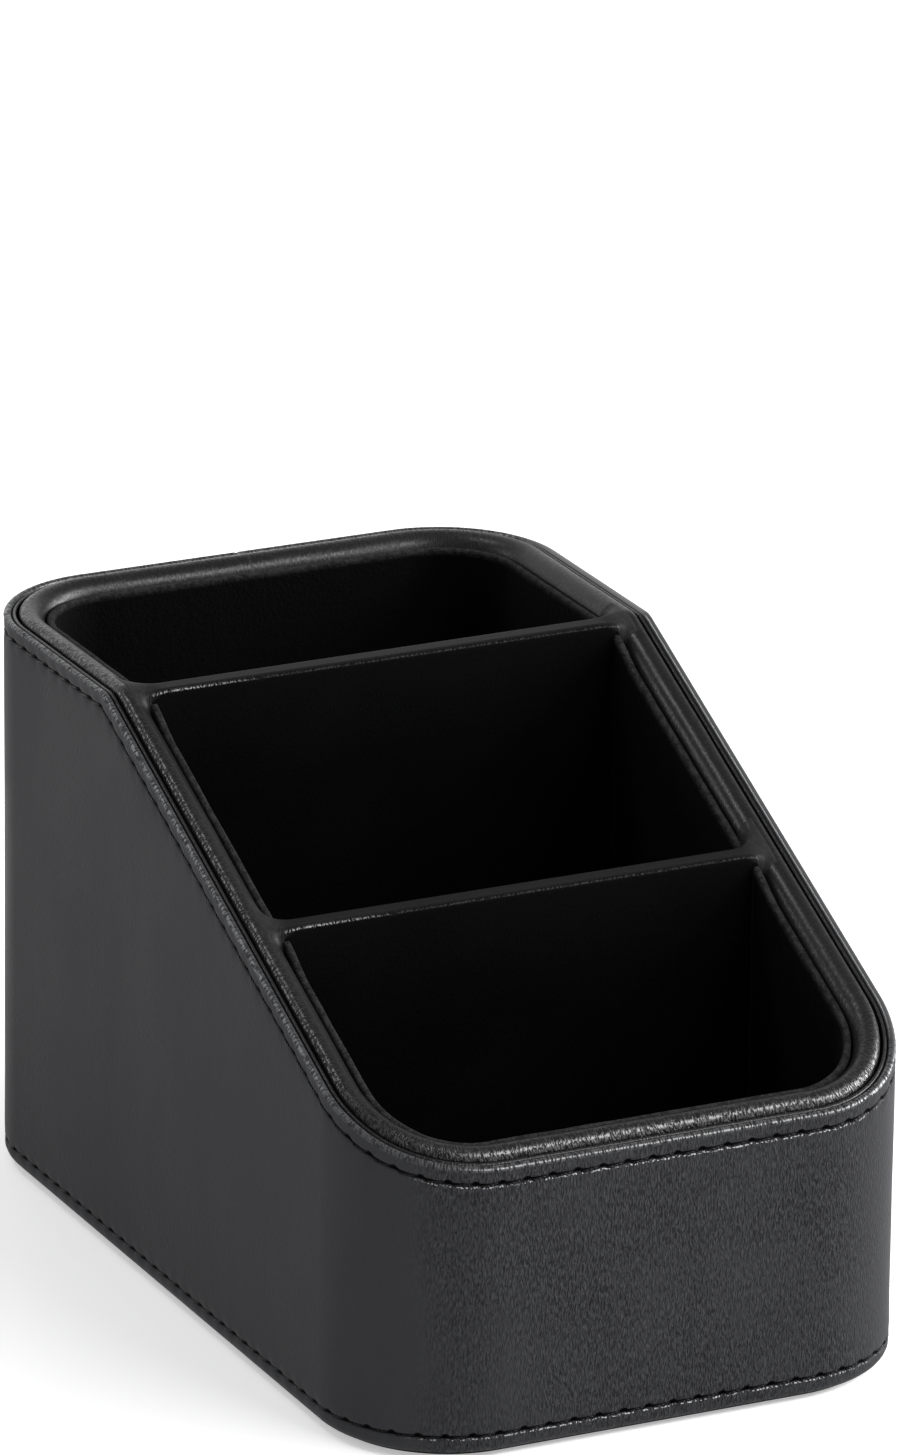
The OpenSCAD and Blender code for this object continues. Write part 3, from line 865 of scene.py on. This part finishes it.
def stitch_line(name, height):
    """One stitch is modelled lying along x, then copied along the outline."""
    pitch = outline_length / stitches
    model = new_piece("stitch", bpy.ops.mesh.primitive_cylinder_add, vertices=8, radius=thread,
                      depth=pitch - stitch_gap, rotation=(0, math.pi / 2, 0), end_fill_type="NGON")
    bpy.ops.object.transform_apply(location=True, rotation=True, scale=True)
    bpy.ops.object.mode_set(mode="EDIT")
    pick(model, lambda e: abs((e.verts[0].co - e.verts[1].co).x) > 0.001, "edges")
    bpy.ops.mesh.subdivide(number_cuts=6)
    bpy.ops.object.mode_set(mode="OBJECT")
    half = (pitch - stitch_gap) / 2
    for v in model.data.vertices:
        t = v.co.x / half
        plump = 0.55 + 0.45 * math.sqrt(max(1 - t ** 6, 0.0))
        v.co.y = v.co.y * plump * thread_flatness - stitch_dip * t ** 6
        v.co.z *= plump
    shape = [tuple(v.co) for v in model.data.vertices]
    faces = [tuple(p.vertices) for p in model.data.polygons]
    corners, sides, along, turn = [], [], [], []
    for number in range(stitches):
        middle = (number + 0.5) * pitch
        for x, y, z in shape:
            px, py, nx, ny = on_outline(middle + x)
            out = y - thread_depth
            lean = lean_rise * (x / half) - lean_drop
            corners.append((px + nx * out, py + ny * out, height(py + ny * out) + z + lean))
            along.append(middle + x)
            turn.append(math.atan2(z, y))
        sides += [tuple(i + number * len(shape) for i in f) for f in faces]
    data = bpy.data.meshes.new(name)
    data.from_pydata(corners, [], sides)
    piece = bpy.data.objects.new(name, data)
    bpy.context.scene.collection.objects.link(piece)
    for label, values in (("along", along), ("turn", turn)):
        mark = data.attributes.new(label, "FLOAT", "POINT")
        mark.data.foreach_set("value", values)
    bpy.data.objects.remove(model)
    bpy.ops.object.select_all(action="DESELECT")
    piece.select_set(True)
    bpy.context.view_layer.objects.active = piece
    bpy.ops.object.mode_set(mode="EDIT")
    bpy.ops.mesh.select_all(action="SELECT")
    bpy.ops.mesh.normals_make_consistent(inside=False)
    bpy.ops.object.mode_set(mode="OBJECT")
    bpy.ops.object.shade_smooth()
    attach(piece, "root")
    return piece


def waxed_thread():
    """Black thread of two strands, twisted and waxed."""
    finish = Finish("waxed_thread", Roughness=0.40, Specular_IOR_Level=0.1)
    strands = (finish.mark("along") * 7000.0 + finish.mark("turn") * 2.0).math("SINE") * 0.5 + 0.5
    flecks = finish.cloud(finish.place(), 3000.0, 2.0, 0.6)
    finish.feed("Base Color", finish.tint(
        strands * 0.6 + flecks * 0.4, (0.0007, 0.0007, 0.0007), (0.0045, 0.0045, 0.0048)))
    finish.relief(strands, 0.00016)
    return finish


thread_finish = waxed_thread()
for piece in (stitch_line("top_stitching", lambda y: rim_height(y, top_line)),
              stitch_line("bottom_stitching", lambda y: bottom_line)):
    dress(piece, thread_finish)


# The felt under the base. One piece of black needle felt glued on, so that the holder
# stands quietly; it covers the cut edge of the leather that is turned in.

felt_round = 0.00025


def needle_felt():
    """Black felt, its fibres matted both ways."""
    finish = Finish("needle_felt", Roughness=0.95, Specular_IOR_Level=0.15, Sheen_Weight=0.3,
                    Sheen_Roughness=0.5)
    place = finish.place()
    fibres = finish.cloud(finish.stretched(place, (900.0, 2600.0, 1500.0)), 1.0, 4.0, 0.7)
    crossed = finish.cloud(finish.stretched(place, (2600.0, 900.0, 1500.0)), 1.0, 4.0, 0.7)
    pile = fibres * 0.5 + crossed * 0.5
    finish.feed("Base Color", finish.tint(
        finish.step(pile, 0.35, 0.65), (0.006, 0.006, 0.0065), (0.030, 0.030, 0.031)))
    finish.relief(pile, 0.0004)
    return finish


dress(softened("felt_pad", "bottom_pad", felt_round), needle_felt())


# The room. A plain pale floor that the holder stands on, soft studio light from a bright
# wall and five large panels, and the camera at the photograph's angle.

floor_size, floor_gap = 30.0, 0.00002
floor = new_piece("floor", bpy.ops.mesh.primitive_plane_add, size=floor_size,
                  location=(0, 0, -floor_gap))
floor_finish = Finish("pale_floor", Roughness=0.85, Specular_IOR_Level=0.2)
floor_finish.shader.inputs["Base Color"].default_value = (0.86, 0.86, 0.86, 1.0)
floor_finish.shader.inputs["Emission Color"].default_value = (1.0, 1.0, 1.0, 1.0)
floor_finish.shader.inputs["Emission Strength"].default_value = 0.40
dress(floor, floor_finish)

world = bpy.data.worlds.new("studio")
bpy.context.scene.world = world
world.use_nodes = True
background = world.node_tree.nodes["Background"]
background.inputs["Color"].default_value = (1.0, 1.0, 1.0, 1.0)
# The wall behind the holder is the brightest part of the room
direction = world.node_tree.nodes.new("ShaderNodeTexCoord")
split = world.node_tree.nodes.new("ShaderNodeSeparateXYZ")
spread = world.node_tree.nodes.new("ShaderNodeMapRange")
for socket, value in ((1, 0.50), (2, 0.95), (3, 0.355), (4, 1.3)):
    spread.inputs[socket].default_value = value
world.node_tree.links.new(direction.outputs["Generated"], split.inputs[0])
world.node_tree.links.new(split.outputs[1], spread.inputs[0])
world.node_tree.links.new(spread.outputs[0], background.inputs["Strength"])


def panel(name, place, target, size, power):
    """A soft light panel that faces a place."""
    light = bpy.data.lights.new(name, "AREA")
    light.shape = "RECTANGLE"
    light.size, light.size_y = size
    light.energy = power
    lamp = bpy.data.objects.new(name, light)
    bpy.context.scene.collection.objects.link(lamp)
    lamp.location = place
    lamp.visible_camera = False
    lamp.rotation_euler = (Vector(target) - Vector(place)).to_track_quat("-Z", "Y").to_euler()


holder_middle = (0, 0, 0.05)
for name, place, size, power in (
        ("key", (0.62, -1.10, 1.32), (0.9, 0.5), 14.0),
        ("right_front", (1.34, -0.63, 0.86), (0.7, 0.6), 22.0),
        ("left_above", (-0.62, 0.50, 1.50), (0.3, 0.3), 4.0),
        ("left_rear", (-1.31, 0.88, 0.80), (0.3, 0.3), 2.6),
        ("right", (1.75, -0.10, 0.40), (0.8, 0.6), 19.0)):
    panel(name, place, holder_middle, size, power)

camera_data = bpy.data.cameras.new("camera")
camera = bpy.data.objects.new("camera", camera_data)
bpy.context.scene.collection.objects.link(camera)
camera_data.sensor_width = 36.0
camera_data.lens = 275.71
camera_data.clip_start, camera_data.clip_end = 0.05, 60.0
camera.matrix_world = (Matrix.Translation((-0.899007, -1.845016, 0.840225))
                       @ Matrix.Rotation(math.radians(-26.004), 4, "Z")
                       @ Matrix.Rotation(math.radians(70.431), 4, "X")
                       @ Matrix.Rotation(math.radians(0.6527), 4, "Z"))
bpy.context.scene.camera = camera
bpy.context.scene.view_settings.view_transform = "Standard"
